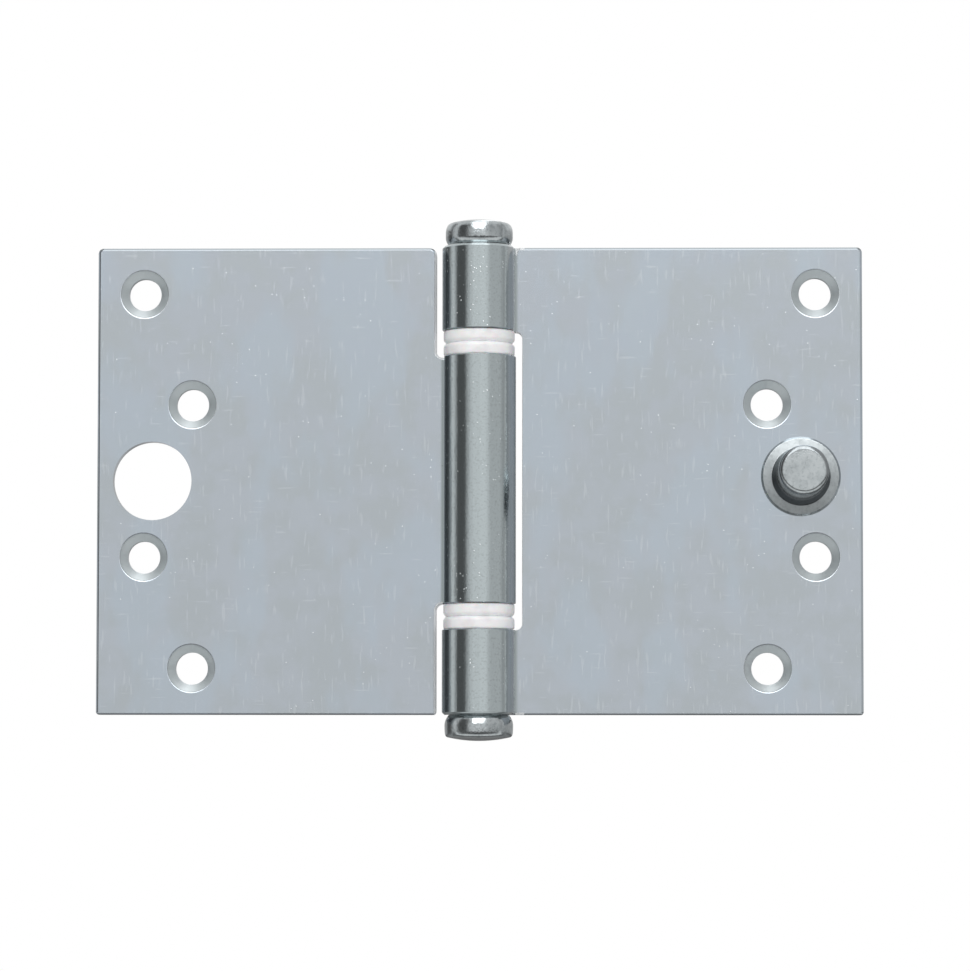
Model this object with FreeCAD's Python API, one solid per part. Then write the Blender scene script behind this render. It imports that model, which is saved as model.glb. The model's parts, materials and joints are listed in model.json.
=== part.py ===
import FreeCAD, Part
import math
import os

from FreeCAD import Vector

# A wide steel butt hinge with a security stud, laid open flat.
# X runs across the open leaves, Y towards the wall, Z along the pin. Sizes are in millimetres.
# While it is modelled, the pin's axis is the Z axis and half height is at zero.

# Leaves
leaf_height = 89.0
leaf_reach = 72.8
plate = 3.0
setback = 1.5
notch_edge = 8.15
top_corner_radius = 1.0
bottom_corner_radius = 0.6
root_corner_radius = 1.4
notch_corner_radius = 1.2
rim_bevel = 0.1
lower_rim_bevel = 0.35

# Rolled knuckles
barrel_diameter = 14.0
outer_knuckle_length = 16.1
bend_start = 6.6
bend_inner_radius = 0.3
curl_stop_angle = 0.0
curl_nose_radius = 2.0
knuckle_outer_bevel = 0.45
knuckle_inner_bevel = 0.15
root_nick_place = 7.0
root_nick_radius = 0.8
root_nick_length = 1.6

# Countersunk screw holes, two columns of two on each leaf, set out from the leaf's corner
screw_hole_diameter = 6.15
countersink_diameter = 9.1
countersink_angle = 90.0
screw_end_margin = 8.8
screw_side_margin = 8.9
screw_row_step = 21.15
screw_column_step = 9.2

# Flanged bushes between the knuckles
flange_diameter = 13.5
flange_thickness = 2.4
flange_gap = 0.1
flange_edge_bevel = 0.6
sleeve_end_gap = 1.5

# Pin, its head and the lower plug
shank_diameter = 6.5
shank_end_chamfer = 0.8
neck_length = 3.6
button_diameter = 13.1
button_height = 4.95
button_crown_radius = 20.0
button_rim_radius = 1.0
button_under_bevel = 0.9
shank_end_gap = 0.6

# Round hole in the door leaf and the security stud on the frame leaf that enters it
stud_hole_diameter = 15.0
stud_hole_margin = 10.5
stud_lead = 1.25
stud_rise = 0.75
stud_length = 13.0
stud_diameter = 9.4
stud_tip_chamfer = 0.65
stud_root_width = 0.85
stud_root_height = 0.7
collar_diameter = 15.1
collar_edge = 0.75
collar_rise = 0.45
collar_bevel = 0.25
tail_diameter = 8.0
tail_spread = 1.0

# Clearances
running_clearance = 0.05
seat_clearance = 0.02

# Sizes that follow from the ones above
barrel_radius = barrel_diameter / 2
bore_radius = barrel_radius - plate
half_height = leaf_height / 2
outer_knuckle_start = half_height - outer_knuckle_length
half_middle = outer_knuckle_start - 2 * flange_thickness - flange_gap
sleeve_length = outer_knuckle_length - neck_length - sleeve_end_gap
back_face = setback + plate
outer_column = leaf_reach - screw_side_margin
inner_column = outer_column - screw_column_step
high_row = half_height - screw_end_margin
low_row = high_row - screw_row_step
stud_hole_reach = leaf_reach - stud_hole_margin
stud_reach = stud_hole_reach - stud_lead


def polar(radius, angle):
    return Vector(radius * math.cos(angle), radius * math.sin(angle), 0)


def arc(centre, radius, start, stop):
    middle = (start + stop) / 2
    points = [centre + polar(radius, angle) for angle in (start, middle, stop)]
    return Part.Arc(points[0], points[1], points[2]).toShape()


def closed_face(edges):
    return Part.Face(Part.Wire(Part.__sortEdges__(edges)))


def rod(radius, bottom, top):
    return Part.makeCylinder(radius, top - bottom, Vector(0, 0, bottom))


# A leaf's section: flat plate, a slight bend back at the root, then the curl round the pin
def leaf_section():
    bend_outer_radius = bend_inner_radius + plate
    bend = Vector(bend_start, setback + bend_outer_radius, 0)
    reach = math.hypot(bend.x, bend.y)
    slope = math.atan2(bend.x, bend.y) - math.acos((bore_radius + bend_outer_radius) / reach)
    leave = math.pi / 2 - slope
    stop = 2 * math.pi - math.radians(curl_stop_angle)
    facing = polar(1, leave)
    lean = math.asin(curl_nose_radius / (barrel_radius - curl_nose_radius))
    edge_centre = polar(barrel_radius - curl_nose_radius, stop - lean)
    edge_end = polar((barrel_radius - curl_nose_radius) * math.cos(lean), stop)
    edge_middle = edge_centre + polar(curl_nose_radius, stop + (math.pi / 2 - lean) / 2)
    bend_end_angle = leave - math.pi
    down = -math.pi / 2
    origin = Vector(0, 0, 0)
    front = [
        Part.makeLine(Vector(leaf_reach, setback, 0), Vector(bend_start, setback, 0)),
        arc(bend, bend_outer_radius, down, bend_end_angle),
        Part.makeLine(bend - facing * bend_outer_radius, facing * bore_radius),
        arc(origin, bore_radius, leave, stop),
    ]
    tip = [
        Part.makeLine(polar(bore_radius, stop), edge_end),
        Part.Arc(edge_end, edge_middle, polar(barrel_radius, stop - lean)).toShape(),
    ]
    back = [
        arc(origin, barrel_radius, stop - lean, leave),
        Part.makeLine(facing * barrel_radius, bend - facing * bend_inner_radius),
        arc(bend, bend_inner_radius, bend_end_angle, down),
        Part.makeLine(Vector(bend_start, back_face, 0), Vector(leaf_reach, back_face, 0)),
        Part.makeLine(Vector(leaf_reach, back_face, 0), Vector(leaf_reach, setback, 0)),
    ]
    return closed_face(front + tip + back)


# The space stamped out beside a knuckle, with round inner corners where a knuckle stands
def notch(bottom, top, round_ends):
    far = -2 * barrel_radius
    deep = 2 * barrel_radius
    block = Part.makeBox(notch_edge - far, 2 * deep, top - bottom, Vector(far, -deep, bottom))
    ends = [edge for edge in block.Edges if runs_along_y(edge, notch_edge, round_ends)]
    return block.makeFillet(notch_corner_radius, ends)


def runs_along_y(edge, x, heights):
    tolerance = 1e-4
    first, last = [vertex.Point for vertex in edge.Vertexes[:1] + edge.Vertexes[-1:]]
    along = abs(first.x - last.x) < tolerance and abs(first.z - last.z) < tolerance
    if not along or abs(first.x - x) > tolerance:
        return False
    return any(abs(first.z - height) < tolerance for height in heights)


def round_corners(leaf, corners):
    for x, height, radius in corners:
        edges = [edge for edge in leaf.Edges if runs_along_y(edge, x, [height])]
        leaf = leaf.makeFillet(radius, edges)
    return leaf


def bevel_knuckle_ends(leaf, heights, bevel):
    tolerance = 1e-4
    ends = []
    for edge in leaf.Edges:
        box = edge.BoundBox
        level = abs(box.ZMax - box.ZMin) < tolerance
        at_end = any(abs(box.ZMin - height) < tolerance for height in heights)
        round_edge = isinstance(edge.Curve, Part.Circle)
        if level and at_end and round_edge and abs(edge.Curve.Radius - barrel_radius) < tolerance:
            ends.append(edge)
    return leaf.makeChamfer(bevel, ends)


# Cutter for one countersunk screw hole, opening towards the front face
def screw_hole(x, z):
    wide = countersink_diameter / 2
    narrow = screw_hole_diameter / 2
    depth = (wide - narrow) / math.tan(math.radians(countersink_angle / 2))
    towards_wall = Vector(0, 1, 0)
    shank = Part.makeCylinder(narrow, 3 * plate, Vector(x, setback - plate, z), towards_wall)
    cone = Part.makeCone(wide, narrow, depth, Vector(x, setback, z), towards_wall)
    mouth = Part.makeCylinder(wide, plate, Vector(x, setback - plate, z), towards_wall)
    return shank.fuse([cone, mouth])


def screw_holes():
    outer = [(outer_column, high_row), (outer_column, -low_row)]
    inner = [(inner_column, low_row), (inner_column, -high_row)]
    return [screw_hole(x, z) for x, z in outer + inner]


# The rim that shows from the front is broken, as a stamped edge is, and more so along the bottom
def bevel_front_rim(leaf):
    tolerance = 1e-4
    for bevel, at_bottom in ((lower_rim_bevel, True), (rim_bevel, False)):
        rim = []
        for edge in leaf.Edges:
            box = edge.BoundBox
            on_front = abs(box.YMin - setback) < tolerance and abs(box.YMax - setback) < tolerance
            inside_hole = isinstance(edge.Curve, Part.Circle) and edge.Closed
            across_bend = abs(box.XMin - bend_start) < tolerance and abs(box.XMax - bend_start) < tolerance
            bottom = abs(box.ZMax + half_height) < tolerance
            if on_front and not inside_hole and not across_bend and bottom == at_bottom:
                rim.append(edge)
        leaf = leaf.makeChamfer(bevel, rim)
    return leaf


def blank_leaf(gaps, ring_ends, root_corners):
    leaf = leaf_section().extrude(Vector(0, 0, leaf_height))
    leaf.translate(Vector(0, 0, -half_height))
    leaf = leaf.cut([notch(bottom, top, ends) for bottom, top, ends in gaps])
    outer_corners = [
        (leaf_reach, half_height, top_corner_radius),
        (leaf_reach, -half_height, bottom_corner_radius),
    ]
    leaf = round_corners(leaf, outer_corners + root_corners)
    return bevel_knuckle_ends(leaf, ring_ends, knuckle_inner_bevel)


def mirrored(shape):
    return shape.mirror(Vector(0, 0, 0), Vector(1, 0, 0))


# Frame leaf with the top and bottom knuckles and the hole for the stud's tail
def frame_leaf():
    ring_ends = [-outer_knuckle_start, outer_knuckle_start]
    leaf = blank_leaf([(-outer_knuckle_start, outer_knuckle_start, ring_ends)], ring_ends, [])
    leaf = bevel_knuckle_ends(leaf, [-half_height, half_height], knuckle_outer_bevel)
    towards_wall = Vector(0, 1, 0)
    centre = Vector(stud_reach, setback, stud_rise)
    hole = Part.makeCylinder(tail_diameter / 2, plate, centre, towards_wall)
    flare_start = centre + towards_wall * (plate - tail_spread)
    narrow = tail_diameter / 2
    flare = Part.makeCone(narrow, narrow + tail_spread, tail_spread, flare_start, towards_wall)
    leaf = bevel_front_rim(leaf.cut(screw_holes() + [hole, flare]))
    return leaf.cut(root_nick()).Solids[0]


# Small nick that the bending tool leaves in the front of the leaf beside the top knuckle
def root_nick():
    tip = Vector(root_nick_place, setback, half_height - root_nick_length)
    spread = 2 * root_nick_radius
    return Part.makeCone(0, spread, 2 * root_nick_length, tip, Vector(0, 0, 1))


# Door leaf with the middle knuckle and the round hole that takes the stud
def door_leaf():
    above = half_height + plate
    gaps = [(half_middle, above, [half_middle]), (-above, -half_middle, [-half_middle])]
    root_corners = [
        (notch_edge, half_height, root_corner_radius),
        (notch_edge, -half_height, bottom_corner_radius),
    ]
    leaf = blank_leaf(gaps, [-half_middle, half_middle], root_corners)
    hole_start = Vector(stud_hole_reach, setback - plate, 0)
    hole = Part.makeCylinder(stud_hole_diameter / 2, 3 * plate, hole_start, Vector(0, 1, 0))
    leaf = bevel_front_rim(leaf.cut(screw_holes() + [hole]))
    return mirrored(leaf.Solids[0])


# Flanged bush standing on z = 0 with its sleeve below, then moved or turned to its place
def bush():
    sleeve_radius = bore_radius - seat_clearance
    hole_radius = shank_diameter / 2 + running_clearance
    flange = rod(flange_diameter / 2, 0, flange_thickness)
    rims = [edge for edge in flange.Edges if isinstance(edge.Curve, Part.Circle)]
    flange = flange.makeChamfer(flange_edge_bevel, rims)
    sleeve = rod(sleeve_radius, -sleeve_length, flange_edge_bevel)
    hole = rod(hole_radius, -sleeve_length, flange_thickness)
    return flange.fuse(sleeve).cut(hole).removeSplitter().Solids[0]


def bush_at(knuckle_end, flange_side):
    shape = bush()
    if flange_side < 0:
        shape.rotate(Vector(0, 0, 0), Vector(1, 0, 0), 180)
    shape.translate(Vector(0, 0, knuckle_end))
    return shape


def upward(angle):
    return Vector(math.sin(angle), 0, math.cos(angle))


# Outline of a button head from its seat at height zero, round the rim and up to the crown
def button_outline():
    radius = button_diameter / 2
    crown = Vector(0, 0, button_height - button_crown_radius)
    lean = math.asin((radius - button_rim_radius) / (button_crown_radius - button_rim_radius))
    rim = crown + upward(lean) * (button_crown_radius - button_rim_radius)
    rim_middle = rim + upward((math.pi / 2 + lean) / 2) * button_rim_radius
    crown_middle = crown + upward(lean / 2) * button_crown_radius
    seat = Vector(radius - button_under_bevel, 0, 0)
    side_low = Vector(radius, 0, button_under_bevel)
    side_high = rim + Vector(button_rim_radius, 0, 0)
    crown_start = crown + upward(lean) * button_crown_radius
    crown_top = Vector(0, 0, button_height)
    return seat, crown_top, [
        Part.makeLine(seat, side_low),
        Part.makeLine(side_low, side_high),
        Part.Arc(side_high, rim_middle, crown_start).toShape(),
        Part.Arc(crown_start, crown_middle, crown_top).toShape(),
    ]


def turned(edges):
    return closed_face(edges).revolve(Vector(0, 0, 0), Vector(0, 0, 1), 360)


def line_path(points):
    vectors = [Vector(x, 0, z) for x, z in points]
    return [Part.makeLine(a, b) for a, b in zip(vectors, vectors[1:])]


# Pin with its button head on the top knuckle, a press neck below it and a long plain shank
def hinge_pin():
    seat, crown_top, head = button_outline()
    neck_radius = bore_radius - seat_clearance
    shank_radius = shank_diameter / 2
    shank_end = -(leaf_height - neck_length - shank_end_gap)
    path = line_path([
        (seat.x, 0),
        (neck_radius, 0),
        (neck_radius, -neck_length),
        (shank_radius, -neck_length),
        (shank_radius, shank_end + shank_end_chamfer),
        (shank_radius - shank_end_chamfer, shank_end),
        (0, shank_end),
        (0, crown_top.z),
    ])
    pin = turned(head + path)
    pin.translate(Vector(0, 0, half_height))
    return pin


# Plug pressed in the bottom knuckle, with the same button head turned downwards
def lower_plug():
    seat, crown_top, head = button_outline()
    stem_radius = bore_radius - seat_clearance
    path = line_path([
        (seat.x, 0),
        (stem_radius, 0),
        (stem_radius, -neck_length),
        (0, -neck_length),
        (0, crown_top.z),
    ])
    plug = turned(head + path)
    plug.rotate(Vector(0, 0, 0), Vector(1, 0, 0), 180)
    plug.translate(Vector(0, 0, -half_height))
    return plug


# Stud turned about its own axis, then laid to stand out of the frame leaf's front face
def security_stud():
    radius = stud_diameter / 2
    collar_radius = collar_diameter / 2
    tail_radius = tail_diameter / 2 - seat_clearance
    collar_top = collar_edge + collar_rise
    outline = line_path([
        (0, stud_length),
        (radius - stud_tip_chamfer, stud_length),
        (radius, stud_length - stud_tip_chamfer),
        (radius, collar_top + stud_root_height),
        (radius + stud_root_width, collar_top),
        (collar_radius - collar_bevel, collar_edge),
        (collar_radius, collar_edge - collar_bevel),
        (collar_radius, 0),
        (tail_radius, 0),
        (tail_radius, tail_spread - plate),
        (tail_radius + tail_spread, -plate),
        (0, -plate),
        (0, stud_length),
    ])
    stud = turned(outline)
    stud.rotate(Vector(0, 0, 0), Vector(1, 0, 0), 90)
    stud.translate(Vector(stud_reach, setback, stud_rise))
    return stud


pieces = {
    "frame_leaf": frame_leaf(),
    "door_leaf": door_leaf(),
    "hinge_pin": hinge_pin(),
    "lower_plug": lower_plug(),
    "upper_outer_bush": bush_at(outer_knuckle_start, -1),
    "upper_inner_bush": bush_at(half_middle, 1),
    "lower_inner_bush": bush_at(-half_middle, -1),
    "lower_outer_bush": bush_at(-outer_knuckle_start, 1),
    "security_stud": security_stud(),
}

# The finished part's origin is the middle of the frame leaf's back face, which lies on the frame
frame_leaf_middle = Vector((notch_edge + leaf_reach) / 2, back_face, 0)

os.makedirs("parts", exist_ok=True)
for name, shape in pieces.items():
    shape.translate(-frame_leaf_middle)
    shape.exportStep(os.path.join("parts", name + ".step"))
    print(name, shape.ShapeType, shape.isValid(), len(shape.Solids), round(shape.Volume, 2))
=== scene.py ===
import json
import math

import bmesh
import bpy
from mathutils import Matrix, Vector


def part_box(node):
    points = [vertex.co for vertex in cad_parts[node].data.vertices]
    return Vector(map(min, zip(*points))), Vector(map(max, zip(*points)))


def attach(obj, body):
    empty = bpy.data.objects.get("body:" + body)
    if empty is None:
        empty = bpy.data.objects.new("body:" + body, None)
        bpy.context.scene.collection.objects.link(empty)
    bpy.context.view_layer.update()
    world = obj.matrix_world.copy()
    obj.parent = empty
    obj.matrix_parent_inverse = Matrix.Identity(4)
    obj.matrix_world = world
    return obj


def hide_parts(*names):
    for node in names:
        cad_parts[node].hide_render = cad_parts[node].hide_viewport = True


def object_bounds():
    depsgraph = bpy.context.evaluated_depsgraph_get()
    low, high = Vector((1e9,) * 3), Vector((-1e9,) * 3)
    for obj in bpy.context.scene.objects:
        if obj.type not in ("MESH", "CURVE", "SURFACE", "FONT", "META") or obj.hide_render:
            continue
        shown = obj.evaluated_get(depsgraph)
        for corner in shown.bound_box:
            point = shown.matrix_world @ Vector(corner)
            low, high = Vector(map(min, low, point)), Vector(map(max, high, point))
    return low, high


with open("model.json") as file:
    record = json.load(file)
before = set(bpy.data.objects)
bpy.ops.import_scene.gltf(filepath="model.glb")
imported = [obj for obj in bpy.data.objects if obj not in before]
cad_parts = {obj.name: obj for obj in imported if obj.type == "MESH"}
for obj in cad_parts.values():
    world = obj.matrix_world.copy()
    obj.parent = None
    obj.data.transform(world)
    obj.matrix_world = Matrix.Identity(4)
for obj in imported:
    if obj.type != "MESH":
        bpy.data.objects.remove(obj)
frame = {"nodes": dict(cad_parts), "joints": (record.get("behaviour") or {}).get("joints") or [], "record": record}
cad_box = [list(corner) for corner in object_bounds()]


# Frame leaf
# A leaf pressed from 3 mm steel sheet, with the top and bottom knuckles rolled in one with it.
# It is zinc plated after pressing: the flat plate is a little duller than the rolled knuckles.

mm_per_m = 1000


class Shade:
    """A value in a material's node tree. Sums, products and so on add their own Math nodes."""

    def __init__(self, tree, socket=None):
        self.tree = tree
        self.socket = socket

    def add(self, kind, settings=None, sockets=None, output=0):
        """Adds one node: its settings first, then the values or links of its sockets."""
        node = self.tree.nodes.new(kind)
        for name, value in (settings or {}).items():
            if name == "stops":
                while len(node.color_ramp.elements) < len(value):
                    node.color_ramp.elements.new(1.0)
                for element, (position, colour) in zip(node.color_ramp.elements, value):
                    element.position = position
                    element.color = colour
            else:
                setattr(node, name, value)
        for name, value in (sockets or {}).items():
            if isinstance(value, Shade):
                self.tree.links.new(value.socket, node.inputs[name])
            else:
                node.inputs[name].default_value = value
        return Shade(self.tree, node.outputs[output])

    def maths(self, operation, *others):
        values = (self,) + others
        return self.add("ShaderNodeMath", {"operation": operation}, dict(enumerate(values)))

    def __add__(self, other):
        return self.maths("ADD", other)

    def __sub__(self, other):
        return self.maths("SUBTRACT", other)

    def __rsub__(self, other):
        return self.add("ShaderNodeMath", {"operation": "SUBTRACT"}, {0: other, 1: self})

    def __mul__(self, other):
        return self.maths("MULTIPLY", other)

    def __truediv__(self, other):
        return self.maths("DIVIDE", other)

    __radd__ = __add__
    __rmul__ = __mul__

    def rise(self, low, high):
        """0 below low and 1 above high, with a smooth step between them."""
        sockets = {"Value": self, "From Min": low, "From Max": high}
        return self.add("ShaderNodeMapRange", {"interpolation_type": "SMOOTHSTEP"}, sockets)

    def band(self, rising, falling):
        """1 between two smooth steps and 0 outside them. Each step is where it starts and ends."""
        return self.rise(*rising) * (1 - self.rise(*falling))

    def blend(self, first, second):
        """The first colour where this value is 0, the second where it is 1."""
        return self.add("ShaderNodeMix", {"data_type": "RGBA"}, {0: self, 6: first, 7: second}, 2)

    def noise(self, scale, detail):
        sockets = {"Vector": self, "Scale": scale, "Detail": detail}
        return self.add("ShaderNodeTexNoise", None, sockets)

    def clouds(self, scale, detail, low, high):
        """Noise that shows above a low level and is full above a high one."""
        return self.noise(scale, detail).rise(low, high)

    def stretched(self, x, y, z):
        """The same place, with each axis scaled by its own factor."""
        return self.add("ShaderNodeVectorMath", {"operation": "MULTIPLY"}, {0: self, 1: (x, y, z)})

    def length(self):
        return self.add("ShaderNodeVectorMath", {"operation": "LENGTH"}, {0: self}, "Value")

    def axes(self):
        return [self.add("ShaderNodeSeparateXYZ", None, {0: self}, index) for index in range(3)]


def tone(red, green, blue):
    """A screen colour, 0 to 255, as the linear colour that a shader takes."""
    linear = [((c / 255 + 0.055) / 1.055) ** 2.4 for c in (red, green, blue)]
    return (*linear, 1.0)


def new_material(name):
    """An empty finish: the material, its shader, and a place on the piece in millimetres."""
    material = bpy.data.materials.new(name)
    material.use_nodes = True
    shader = material.node_tree.nodes["Principled BSDF"]
    tree = Shade(material.node_tree)
    place = tree.add("ShaderNodeTexCoord", output="Object").stretched(mm_per_m, mm_per_m, mm_per_m)
    return material, shader, place


def connect(shader, name, value):
    if isinstance(value, Shade):
        value.tree.links.new(value.socket, shader.inputs[name])
    else:
        shader.inputs[name].default_value = value


def emboss(shader, height):
    """Raises the surface by a height in millimetres."""
    sockets = {"Height": height, "Distance": 1 / mm_per_m}
    connect(shader, "Normal", height.add("ShaderNodeBump", None, sockets))


def speck_mask(place, per_mm, size, share):
    """Small round specks: how many cells a millimetre, their size and the share of cells with one."""
    sockets = {"Vector": place, "Scale": per_mm}
    distance = place.add("ShaderNodeTexVoronoi", None, sockets, "Distance")
    chance = place.add("ShaderNodeTexVoronoi", None, sockets, "Color").axes()[0]
    return (1 - distance.rise(size * 0.5, size)) * chance.rise(1 - share, 1 - share * 0.8)


pin_place = Vector(frame["joints"][0]["pos_m"]) * mm_per_m
leaf_low, leaf_high = [corner * mm_per_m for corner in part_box("frame_leaf")]
plate_thickness = 3.0

# Each pair is where a step in the finish starts and ends, in millimetres.
barrel_fade = (7.1, 7.5)
plate_start = (6.84, 6.9)
front_step = (0.002, 0.01)
back_step = (-0.02, -0.005)
# Sheared notch edges: dull, and painted pale and not metallic so that they read lit.
notch_end = (8.5, 8.6)
# Painted shade: the top rim is painted darker so that it does not read bright.
top_edge = 0.45
top_edge_fade = 0.06
lower_bevel = 0.4
lower_bevel_bulge = 0.066
# Painted shade: the crease beside each knuckle's root is painted darker.
root_shade = ((6.5, 6.75), (6.95, 7.5))
root_line_shade = ((6.25, 6.35), (6.5, 6.65))
# Painted light: each knuckle's right side is painted lighter.
side_light_span = (5.3, 5.8)
sink_step = (4.35, 4.75)
sink_drop = 0.06

# Noise has its grains a millimetre and its detail. Clouds add the levels between which they show.
mottle_clouds = (0.16, 3.0, 0.35, 0.65)
haze_clouds = (0.09, 3.0, 0.45, 0.62)
haze_stretch = (1.0, 1.0, 0.5)
patch_clouds = (0.21, 2.0, 0.5, 0.62)
sheet_grain = (2.6, 4.0)
plate_specks = (0.95, 0.12, 0.5)
upright_clouds = (1.0, 1.0, 0.61, 0.71)
upright_stretch = (1.6, 1.0, 0.22)
flat_clouds = (1.0, 1.0, 0.66, 0.75)
flat_stretch = (0.2, 1.0, 1.9)
turning_noise = (1.0, 3.0)
turning_stretch = (1.6, 1.6, 0.035)
wave_noise = (1.0, 2.0)
wave_stretch = (0.5, 0.5, 0.22)
pit_clouds = (2.3, 4.0, 0.48, 0.74)
# Small raised specks on the knuckles, painted bright as glints.
knuckle_glint_specks = (1.6, 0.24, 0.5)

# How strongly each pattern colours the zinc, how far it stands out in millimetres, and how rough it is
mottle_share = 0.5
haze_share = 0.6
speck_share = 0.7
mark_share = 0.17
pit_share = 0.7
side_light_share = 0.8
root_shade_share = 0.8
grain_height = 0.003
speck_height = 0.007
mark_height = 0.002
turning_height = 0.012
wave_height = 0.03
pit_height = 0.004
glint_speck_height = 0.035
plate_roughness = 0.12
knuckle_roughness = 0.08
sheared_roughness = 0.45
sink_roughness = 0.3
root_line_roughness = 0.25

zinc_light = tone(178, 185, 192)
zinc_warm = tone(171, 178, 180)
zinc_cool = tone(178, 189, 199)
zinc_speck = tone(214, 219, 223)
# Painted shade for the crease beside each knuckle's root.
zinc_root_shade = tone(132, 141, 143)
# Painted shade for the plate's top rim.
zinc_top_rim_shade = tone(130, 136, 140)
# Sheared notch edges: dull, and painted pale as painted light.
zinc_sheared_and_lit = tone(228, 231, 233)
zinc_sink = tone(205, 211, 213)
knuckle_light = tone(179, 188, 190)
knuckle_pit = tone(163, 171, 172)
# Painted light for each knuckle's right side.
knuckle_side_light = tone(207, 211, 213)
# Painted glints on the knuckles' specks.
knuckle_glint = tone(236, 240, 241)


def screw_places():
    """The middles of the screw holes on X and Z, in millimetres, from the record's mounts."""
    for mount in frame["record"]["mounts"]:
        if mount["kind"] == "bolt_pattern":
            x, y, z = [value * mm_per_m for value in mount["pos_m"]]
            for side in (-0.5, 0.5):
                yield x, z + side * mount["dims"]["spacing_y_mm"]


def sink_mask(place):
    """0 in the countersinks and 1 on the plate, with a smooth step at their rims."""
    mask = 1.0
    for x, z in screw_places():
        hole = place.add("ShaderNodeVectorMath", {"operation": "SUBTRACT"}, {0: place, 1: (x, 0, z)})
        mask = mask * hole.stretched(1, 0, 1).length().rise(*sink_step)
    return mask


def zinc_sheet():
    """Plated sheet: slight mottling, fine grain, small specks and short rub marks on the plate,
    dull sheared notches and countersinks, and glossier rolled knuckles with pits and long streaks.
    Painted shade darkens the top rim and the crease at each knuckle's root; painted light brightens
    the notch edges and the knuckles' right sides; bright specks on the knuckles are raised a little and painted as
    glints."""
    material, shader, place = new_material("zinc_sheet")
    x, y, z = place.axes()
    across = x - pin_place.x
    aside = across.maths("ABSOLUTE")
    outward = y - pin_place.y
    plate = (across * across + outward * outward).maths("SQRT").rise(*barrel_fade)
    knuckle = 1 - plate
    back = y.rise(*back_step)
    behind_front = (y + plate_thickness).rise(*front_step) * aside.rise(*plate_start) * (1 - back)
    # Painted shade along the top rim of the plate.
    top_rim_shade = z.rise(leaf_high.z - top_edge - top_edge_fade, leaf_high.z - top_edge) * behind_front
    # Sheared notch edges: dull, and painted pale as painted light.
    notch_painted_light = (1 - aside.rise(*notch_end)) * behind_front
    # Painted shade in the crease where the plate meets its knuckle.
    painted_root_shade = aside.band(*root_shade)
    root_line = aside.band(*root_line_shade)
    # Painted light on each knuckle's right side.
    side_light = across.rise(*side_light_span) * side_light_share
    sheet = sink_mask(place).maths("MAXIMUM", back)

    mottle = place.clouds(*mottle_clouds) * mottle_share
    haze = place.stretched(*haze_stretch).clouds(*haze_clouds) * haze_share
    patches = place.clouds(*patch_clouds)
    grain = place.noise(*sheet_grain)
    specks = speck_mask(place, *plate_specks) * plate * (0.35 + patches)
    upright = place.stretched(*upright_stretch).clouds(*upright_clouds)
    flat = place.stretched(*flat_stretch).clouds(*flat_clouds)
    marks = (upright + flat) * plate
    turning = place.stretched(*turning_stretch).noise(*turning_noise)
    waves = place.stretched(*wave_stretch).noise(*wave_noise)
    pits = place.clouds(*pit_clouds) * knuckle
    # Small raised specks on the knuckles, painted bright as glints.
    glint_specks = speck_mask(place, *knuckle_glint_specks) * patches * knuckle

    colour = haze.blend(mottle.blend(zinc_light, zinc_warm), zinc_cool)
    colour = (specks * speck_share + marks * mark_share).blend(colour, zinc_speck)
    knuckle_tone = (pits * pit_share).blend(knuckle_light, knuckle_pit)
    # Painted light on each knuckle's right side, then painted glints on its specks.
    knuckle_tone = glint_specks.blend(side_light.blend(knuckle_tone, knuckle_side_light), knuckle_glint)
    colour = knuckle.blend(colour, knuckle_tone)
    # Painted shade darkens the crease beside each knuckle.
    colour = (painted_root_shade * root_shade_share).blend(colour, zinc_root_shade)
    # Painted shade darkens the top rim.
    colour = top_rim_shade.blend(colour, zinc_top_rim_shade)
    # The sheared notch edges are painted pale, as painted light.
    colour = notch_painted_light.blend(colour, zinc_sheared_and_lit)
    colour = sheet.blend(zinc_sink, colour)
    connect(shader, "Base Color", colour)
    connect(shader, "Metallic", 1 - notch_painted_light)
    on_knuckle = knuckle_roughness + turning * 0.08 + pits * 0.06 + root_line * root_line_roughness
    on_plate = plate_roughness + mottle * 0.04 + grain * 0.05
    on_plate = on_plate + notch_painted_light * sheared_roughness + (1 - sheet) * sink_roughness
    connect(shader, "Roughness", plate * on_plate + knuckle * on_knuckle)

    lower_rim = (z - (leaf_low.z + lower_bevel / 2)) / (lower_bevel / 2)
    lower_rim = lower_rim.maths("MAXIMUM", -1.0).maths("MINIMUM", 1.0)
    on_plate = grain * grain_height + specks * speck_height + marks * mark_height
    on_knuckle = turning * turning_height + waves * wave_height
    height = (on_plate + (sheet - 1.0) * sink_drop) * plate + on_knuckle * knuckle
    height = height + pits * pit_height + glint_specks * glint_speck_height
    emboss(shader, height - lower_rim * lower_rim * lower_bevel_bulge)
    return material


zinc = zinc_sheet()
frame["nodes"]["frame_leaf"].material_slots[0].material = zinc


# Door leaf
# The other leaf, pressed from the same sheet with the middle knuckle rolled in one with it and a
# round hole that takes the stud.

frame["nodes"]["door_leaf"].material_slots[0].material = zinc


# Bushes
# Four flanged plastic bushes, moulded in white. Their sleeves sit in the knuckles and their flanges
# show between the knuckles as two pairs of rings with well rounded rims.

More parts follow.
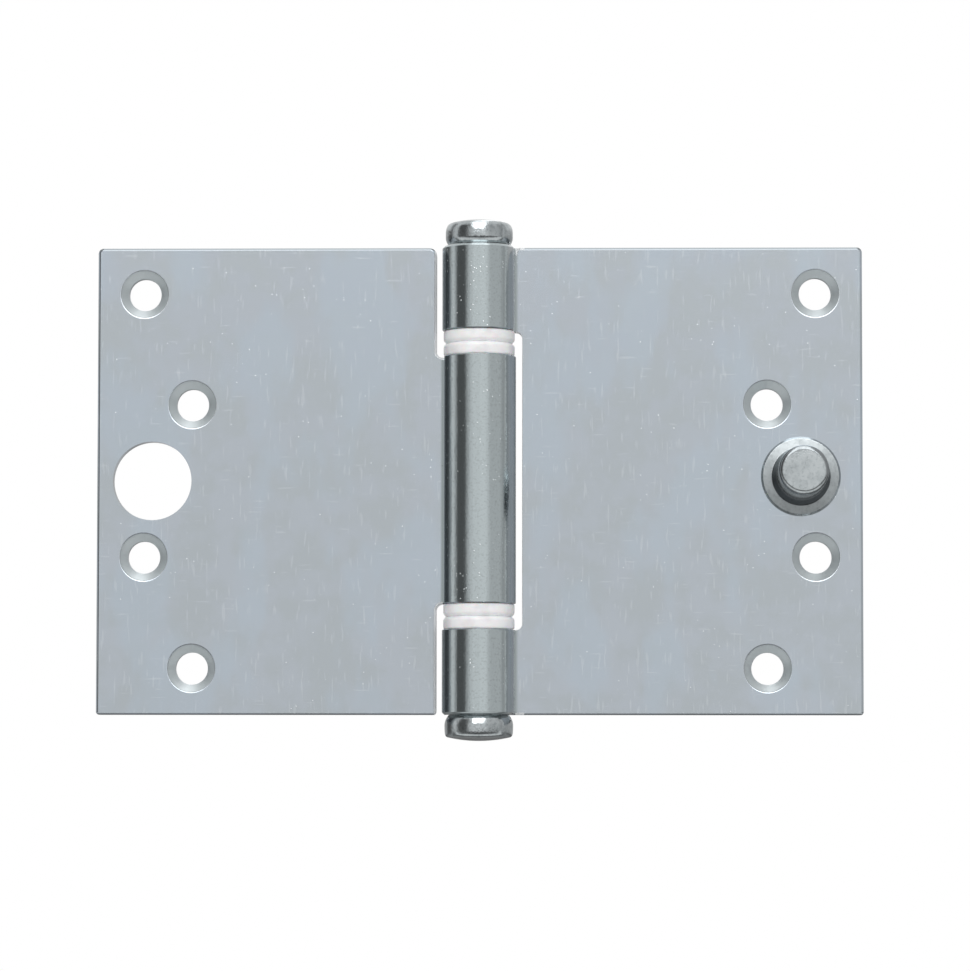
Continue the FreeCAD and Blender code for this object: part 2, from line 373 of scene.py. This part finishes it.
flange_radius = 6.75
flange_thickness = 2.45
ring_reach = 0.04
flange_round = 0.45
groove_depth = 0.5
groove_height = 0.55
groove_round = 0.7
sleeve_radius = 3.98
sleeve_length = 11.0
bush_hole_radius = 3.3
bush_outline = [
    (bush_hole_radius, -sleeve_length, 0),
    (sleeve_radius, -sleeve_length, 0),
    (sleeve_radius, 0, 0),
    (flange_radius, 0, flange_round),
    (flange_radius, flange_thickness - groove_height, groove_round),
    (flange_radius - groove_depth, flange_thickness, 0),
    (bush_hole_radius, flange_thickness, 0),
]
bushes = [
    ("upper_outer_bush", "frame_side", -1),
    ("upper_inner_bush", "door_side", 1),
    ("lower_inner_bush", "door_side", -1),
    ("lower_outer_bush", "frame_side", 1),
]
bush_white = tone(251, 250, 251)
bush_soiled = tone(226, 223, 225)
soil_clouds = (0.35, 2.0, 0.4, 0.7)
soil_share = 0.6
plastic_roughness = 0.34
plastic_sheen = (1.2, 2.0)
sheen_spread = 0.12
plastic_glow = 0.2
plastic_glow_depth = 0.0008
plastic_waves = (1.4, 3.0)
plastic_wave_height = 0.012
turning_steps = 128
round_steps = 8
merge_distance = 0.0001
sharp_angle = math.radians(35)


def rounded(outline):
    """The outline's points, with an arc in place of each corner that has a round."""
    points = []
    for index, (radius, height, corner_round) in enumerate(outline):
        corner = Vector((radius, height))
        if corner_round == 0:
            points.append(corner)
            continue
        before = (Vector(outline[index - 1][:2]) - corner).normalized()
        after = (Vector(outline[index + 1][:2]) - corner).normalized()
        half = before.angle(after) / 2
        centre = corner + (before + after).normalized() * corner_round / math.sin(half)
        start = corner + before * corner_round / math.tan(half) - centre
        turn = math.copysign(math.pi - 2 * half, after.x * before.y - after.y * before.x)
        for step in range(round_steps + 1):
            points.append(centre + Matrix.Rotation(turn * step / round_steps, 2) @ start)
    return points


def turned_piece(node, body, finish, outline, closed, place):
    """A piece spun from its outline in millimetres, which stands for a node of the frame."""
    shape = bmesh.new()
    corners = [shape.verts.new((point.x, 0, point.y)) for point in rounded(outline)]
    ends = corners[1:] + corners[:1] if closed else corners[1:]
    edges = [shape.edges.new(pair) for pair in zip(corners, ends)]
    bmesh.ops.spin(shape, geom=corners + edges, cent=(0, 0, 0), axis=(0, 0, 1), dvec=(0, 0, 0),
                   angle=2 * math.pi, steps=turning_steps, use_merge=True)
    bmesh.ops.remove_doubles(shape, verts=shape.verts, dist=merge_distance)
    bmesh.ops.transform(shape, matrix=Matrix.Scale(1 / mm_per_m, 4) @ place, verts=shape.verts)
    bmesh.ops.recalc_face_normals(shape, faces=shape.faces)
    mesh = bpy.data.meshes.new(node + "_turned")
    shape.to_mesh(mesh)
    shape.free()
    mesh.shade_smooth()
    mesh.set_sharp_from_angle(angle=sharp_angle)
    mesh.materials.append(finish)
    piece = bpy.data.objects.new(node + "_turned", mesh)
    bpy.context.scene.collection.objects.link(piece)
    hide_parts(node)
    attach(piece, body)


def on_pin(height, side):
    """Places a piece on the pin's axis at a height in millimetres, upright or turned over."""
    return Matrix.Translation((pin_place.x, pin_place.y, height)) @ Matrix.Diagonal((1, 1, side, 1))


def ends_of(node):
    """The heights of a node's two ends, in millimetres."""
    low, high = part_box(node)
    return low.z * mm_per_m, high.z * mm_per_m


def moulded_plastic():
    """White plastic with a faint unevenness and a soft sheen."""
    material, shader, place = new_material("moulded_plastic")
    soil = place.clouds(*soil_clouds) * soil_share
    connect(shader, "Base Color", soil.blend(bush_white, bush_soiled))
    connect(shader, "Roughness", plastic_roughness + place.noise(*plastic_sheen) * sheen_spread)
    connect(shader, "Subsurface Weight", plastic_glow)
    connect(shader, "Subsurface Scale", plastic_glow_depth)
    emboss(shader, place.noise(*plastic_waves) * plastic_wave_height)
    return material


plastic = moulded_plastic()
for name, body, side in bushes:
    low, high = ends_of(name)
    end = high if side > 0 else low
    seat = end - side * (flange_thickness - ring_reach)
    turned_piece(name, body, plastic, bush_outline, True, on_pin(seat, side))


# Hinge pin and lower plug
# Turned steel, zinc plated. The pin's own head is the upper button, and a plug with a like head
# closes the lower end.

pin_head_radius = 5.84
pin_head_facing = -41
pin_head_arcs = [(2.2, 0), (60.0, 0.8), (4.5, 7.4), (2.4, 25.7), (1.1, 75)]
pin_head_lift = 0.15
plug_head_radius = 5.72
plug_head_facing = -42.5
plug_head_arcs = [(2.96, 0), (19.0, 3.3), (4.4, 11.0), (0.7, 77)]
neck_radius = 3.98
neck_length = 3.6
shank_radius = 3.25
shank_chamfer = 0.8
turned_light = tone(184, 190, 192)
turned_dark = tone(140, 147, 149)
turned_dull_and_shade = tone(84, 88, 92)
turned_clouds = (0.45, 4.0, 0.4, 0.65)
turned_blotches = (1.5, 4.0, 0.5, 0.66)
stain_share = 0.35
turned_sheen = (1.1, 3.0)
turned_waves = (0.55, 2.0)
turned_grain = (3.0, 3.0)
turned_rougher = 0.34


def button(radius, facing, arcs):
    """A button head's outline from its seat to the middle of its crown, as arcs that run into each
    other. Facing is how far up the surface looks at the start, in degrees. Each arc has its radius
    and the facing at its end; the crown is the last arc and ends at the middle."""
    height = 0.0
    outline = [(radius, height, 0)]
    for arc, next_facing in arcs:
        for step in range(1, round_steps + 1):
            start = math.radians(facing + (next_facing - facing) * (step - 1) / round_steps)
            end = math.radians(facing + (next_facing - facing) * step / round_steps)
            radius += arc * (math.cos(end) - math.cos(start))
            height += arc * (math.sin(end) - math.sin(start))
            outline.append((radius, height, 0))
        facing = next_facing
    crown_radius = radius / math.cos(math.radians(facing))
    for step in range(1, round_steps + 1):
        angle = math.radians(facing + (90 - facing) * step / round_steps)
        rise = crown_radius * (math.sin(angle) - math.sin(math.radians(facing)))
        outline.append((crown_radius * math.cos(angle), height + rise, 0))
    return outline


def turned_zinc(name, roughness, waviness, graininess, masks=None):
    """Turned and plated steel: bright and slightly wavy, with a fine grain and darker clouds.
    Masks is a function that gives where the piece is darker, as painted shade or a duller finish, and where it is
    rougher."""
    material, shader, place = new_material(name)
    stain = (place.clouds(*turned_clouds) + place.clouds(*turned_blotches)) * stain_share
    colour = stain.blend(turned_light, turned_dark)
    roughness = roughness + place.noise(*turned_sheen) * sheen_spread
    if masks:
        dull_and_shade, rough = masks(place)
        # Darker where the masks say: painted shade, and a duller finish.
        colour = dull_and_shade.blend(colour, turned_dull_and_shade)
        roughness = roughness + rough * turned_rougher
    connect(shader, "Base Color", colour)
    connect(shader, "Metallic", 1.0)
    connect(shader, "Roughness", roughness)
    emboss(shader, place.noise(*turned_waves) * waviness + place.noise(*turned_grain) * graininess)
    return material


button_zinc = turned_zinc("button_zinc", roughness=0.06, waviness=0.035, graininess=0.022)

pin_foot, pin_top = ends_of("hinge_pin")
pin_head = button(pin_head_radius, pin_head_facing, pin_head_arcs)
pin_seat = pin_top + pin_head_lift - pin_head[-1][1]
shank_end = pin_foot - pin_seat
pin_outline = [
    (0, shank_end, 0),
    (shank_radius - shank_chamfer, shank_end, 0),
    (shank_radius, shank_end + shank_chamfer, 0),
    (shank_radius, -neck_length, 0),
    (neck_radius, -neck_length, 0),
    (neck_radius, 0, 0),
] + pin_head
turned_piece("hinge_pin", "frame_side", button_zinc, pin_outline, False,
             on_pin(pin_seat, 1))

plug_foot = ends_of("lower_plug")[0]
plug_head = button(plug_head_radius, plug_head_facing, plug_head_arcs)
plug_seat = plug_foot + plug_head[-1][1]
plug_outline = [
    (0, -neck_length, 0),
    (neck_radius, -neck_length, 0),
    (neck_radius, 0, 0),
] + plug_head
turned_piece("lower_plug", "frame_side", button_zinc, plug_outline, False,
             on_pin(plug_seat, -1))


# Security stud
# A turned steel stud with a thin bevelled collar, zinc plated and riveted through the frame leaf.
# Its root tapers out to the collar, and the stud leans a little upwards.

stud_length = 13.0
stud_radius = 4.7
stud_tip_round = 0.9
stud_root_radius = 5.55
stud_root_height = 2.2
stud_root_round = 3.0
stud_lean = 0.03
collar_radius = 7.55
collar_edge = 0.75
collar_rise = 0.33
collar_bevel = (0.38, 0.45)
tail_radius = 3.98
tail_spread = 1.0

# Where the finish changes, in millimetres from the stud's middle line, its seat or its middle height
root_edge = (5.5, 5.7)
# The root's lower side between these heights is painted darker, as shade.
root_heights = ((0.9, 1.1), (4.0, 9.0))
root_side = (-1.0, 2.5)
tip_start = (12.0, 12.3)
tip_edge = (3.9, 4.3)
# Painted shade on the tip's round.
tip_shade_share = 0.55
collar_face = (root_edge, (7.1, 7.2))
collar_dullness = 0.14

stud_outline = [
    (0, -plate_thickness, 0),
    (tail_radius + tail_spread, -plate_thickness, 0),
    (tail_radius, tail_spread - plate_thickness, 0),
    (tail_radius, 0, 0),
    (collar_radius, 0, 0),
    (collar_radius, collar_edge - collar_bevel[1], 0),
    (collar_radius - collar_bevel[0], collar_edge, 0),
    (stud_root_radius, collar_edge + collar_rise, 0),
    (stud_radius, collar_edge + collar_rise + stud_root_height, stud_root_round),
    (stud_radius, stud_length, stud_tip_round),
    (0, stud_length, 0),
]

stud_low, stud_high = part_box("security_stud")
stud_middle = (stud_low + stud_high) / 2 * mm_per_m
stud_seat = stud_high.y * mm_per_m - plate_thickness
stud_place = Matrix.Translation((stud_middle.x, stud_seat, stud_middle.z))
leaning = Matrix.Identity(4)
leaning[1][2] = stud_lean


def stud_masks(place):
    """Painted shade darkens the root's lower side and the tip's round; the collar is darker and rougher."""
    x, y, z = place.axes()
    aside = x - stud_middle.x
    upward = z - stud_middle.z
    radius = (aside * aside + upward * upward).maths("SQRT")
    height = stud_seat - y
    # Painted shade on the root's lower side.
    painted_root_shade = height.band(*root_heights) * (1 - radius.rise(*root_edge)) * (1 - upward.rise(*root_side))
    # Painted shade on the tip's round.
    painted_tip_shade = height.rise(*tip_start) * radius.rise(*tip_edge)
    collar = radius.band(*collar_face)
    return painted_root_shade + painted_tip_shade * tip_shade_share + collar * collar_dullness, collar


stud_zinc = turned_zinc("stud_zinc", roughness=0.06, waviness=0.02, graininess=0.02, masks=stud_masks)
turned_piece("security_stud", "frame_side", stud_zinc, stud_outline, False,
             stud_place @ Matrix.Rotation(math.pi / 2, 4, "X") @ leaning)


# Floor
# A plain pale floor a hand's width below the hinge, which holds its soft shadow. Further out it fades
# into the white room.

floor_drop = 0.10
floor_radius = 3.0
shadow_radius = (0.25, 0.7)
floor_white = (0.9, 0.9, 0.9, 1.0)
floor_roughness = 0.8

bpy.ops.mesh.primitive_circle_add(vertices=64, radius=floor_radius, fill_type="NGON",
                                  location=(0, 0, cad_box[0][2] - floor_drop))
floor = bpy.context.object
floor.name = "floor"
floor.visible_glossy = False

material, shader, place = new_material("floor_white")
connect(shader, "Base Color", floor_white)
connect(shader, "Roughness", floor_roughness)
faded = (place.length() / mm_per_m).rise(*shadow_radius)
glow = place.add("ShaderNodeEmission", None, {"Color": (1, 1, 1, 1), "Strength": 1.0})
own = Shade(material.node_tree, shader.outputs[0])
seen = place.add("ShaderNodeLightPath", output="Is Camera Ray")
mixed = place.add("ShaderNodeMixShader", None, {0: faded * seen, 1: own, 2: glow})
output = material.node_tree.nodes["Material Output"]
material.node_tree.links.new(mixed.socket, output.inputs["Surface"])
floor.data.materials.append(material)


# Light
# A white room with one tall soft lamp in front and above. Only reflections see the surround: walls
# that are white behind the camera and darker at the sides, with black flags on the left, a table
# below, and a bright strip overhead.

room = bpy.data.worlds.new("room")
bpy.context.scene.world = room
room.use_nodes = True
room_tree = Shade(room.node_tree)
background = room.node_tree.nodes["Background"]
paths = [room_tree.add("ShaderNodeLightPath", output=name)
         for name in ("Is Camera Ray", "Is Glossy Ray", "Is Transmission Ray")]
ambient = 0.4
white = (paths[0] + paths[1] + paths[2]).maths("MINIMUM", 1.0)
connect(background, "Strength", ambient + white * (1 - ambient))
background.inputs["Color"].default_value = (1, 1, 1, 1)

surround_radius = 1.6

# Panels: the angles in degrees where each starts and ends, and its grey. For the walls 0 is towards the
# camera and 90 to the right, and for the table 0 is towards the camera and 90 straight down.
wall_panels = [
    (-180, -141, 0.50), (-125, -108, 0.13), (-91, -84, 0.85), (-70, -46, 0.13), (-28, -24, 0.84),
    (-18, -2, 0.95), (6, 21, 0.99), (36, 70, 0.70), (82, 87, 0.50), (92, 94, 0.74), (103, 180, 0.50),
]
table_panels = [
    (0, 8, 0.85), (13, 22, 0.14), (41, 70, 0.93), (86, 102, 0.20), (130, 136, 0.37), (166, 180, 0.17),
]
table_start = (0.09, 0.19)
overhead_start = (0.55, 0.80)
overhead = (0.9, 0.9, 0.9, 1.0)
behind_start = (0.2, 0.5)
behind_height = (0.12, 0.3)
strip_reach = 0.24
strip_edge = (-0.02, 0.02)
strip_front = (-0.3, -0.25)
strip_glow = 1.3

bpy.ops.mesh.primitive_uv_sphere_add(segments=64, ring_count=32, radius=surround_radius)
surround = bpy.context.object
surround.name = "surround"
surround.visible_camera = False
surround.visible_diffuse = False
surround.visible_shadow = False
surround.visible_transmission = False

material, shader, place = new_material("surround_grey")
x, y, z = place.add("ShaderNodeVectorMath", {"operation": "NORMALIZE"}, {0: place}).axes()


def greys(angle, panels):
    """The grey for an angle in radians. Between two panels it changes evenly from one to the other."""
    stops = [((degrees + 180) / 360, (grey, grey, grey, 1))
             for start, end, grey in panels for degrees in (start, end)]
    return angle.add("ShaderNodeValToRGB", {"stops": stops}, {0: angle / (2 * math.pi) + 0.5})


walls = greys(x.maths("ARCTAN2", y * -1.0), wall_panels)
table = greys((z * -1.0).maths("ARCTAN2", y * -1.0), table_panels)
behind = y.rise(*behind_start) * z.rise(*behind_height)
above = z.rise(*overhead_start).maths("MAXIMUM", behind)
strip = ((1 - y) * strip_reach - x.maths("ABSOLUTE")).rise(*strip_edge) * y.rise(*strip_front) * above
colour = above.blend(walls, overhead)
colour = (z * -1.0).rise(*table_start).blend(colour, table)
sockets = {0: colour, "Scale": strip * strip_glow + 1.0}
bright = place.add("ShaderNodeVectorMath", {"operation": "SCALE"}, sockets)
glow = place.add("ShaderNodeEmission", None, {"Color": bright, "Strength": 1.0})
material.node_tree.links.new(glow.socket, material.node_tree.nodes["Material Output"].inputs["Surface"])
surround.data.materials.append(material)

lamp_place = Vector((-0.02, -0.92, 0.92))
lamp_size = (0.93, 1.5)
lamp_power = 10.5
lamp = bpy.data.lights.new("front_lamp", "AREA")
lamp.shape = "RECTANGLE"
lamp.size = lamp_size[0]
lamp.size_y = lamp_size[1]
lamp.energy = lamp_power
holder = bpy.data.objects.new("front_lamp", lamp)
holder.location = lamp_place
holder.rotation_euler = (-lamp_place).to_track_quat("-Z", "Y").to_euler()
bpy.context.scene.collection.objects.link(holder)


# Camera
# It stands 0.8 m in front of the hinge, a little below its middle and to the right of the pin, and
# looks slightly up and to the left, as the photograph does.

camera_from_pin = Vector((18.79, -800.0, -56.58))
camera_pitch = math.radians(3.314)
camera_yaw = math.radians(-1.264)
camera_roll = math.radians(0.058)
focal_pixels = 4227.6
picture_width = 970
sensor_width = 36.0
framing_shift = 0.05

camera = bpy.data.cameras.new("camera")
camera.sensor_fit = "HORIZONTAL"
camera.sensor_width = sensor_width
camera.lens = focal_pixels / picture_width * sensor_width
camera.shift_y = framing_shift
camera.clip_start = 0.05
camera.clip_end = 20.0

ahead = Vector((math.sin(camera_yaw) * math.cos(camera_pitch),
                math.cos(camera_yaw) * math.cos(camera_pitch), math.sin(camera_pitch)))
level = Vector((math.cos(camera_yaw), -math.sin(camera_yaw), 0))
over = level.cross(ahead)
right = level * math.cos(camera_roll) + over * math.sin(camera_roll)
up = over * math.cos(camera_roll) - level * math.sin(camera_roll)
turned = Matrix((right, up, -ahead)).transposed().to_4x4()
viewer = bpy.data.objects.new("camera", camera)
viewer.matrix_world = Matrix.Translation((camera_from_pin + pin_place) / mm_per_m) @ turned
bpy.context.scene.collection.objects.link(viewer)
bpy.context.scene.camera = viewer
bpy.context.scene.view_settings.view_transform = "Standard"
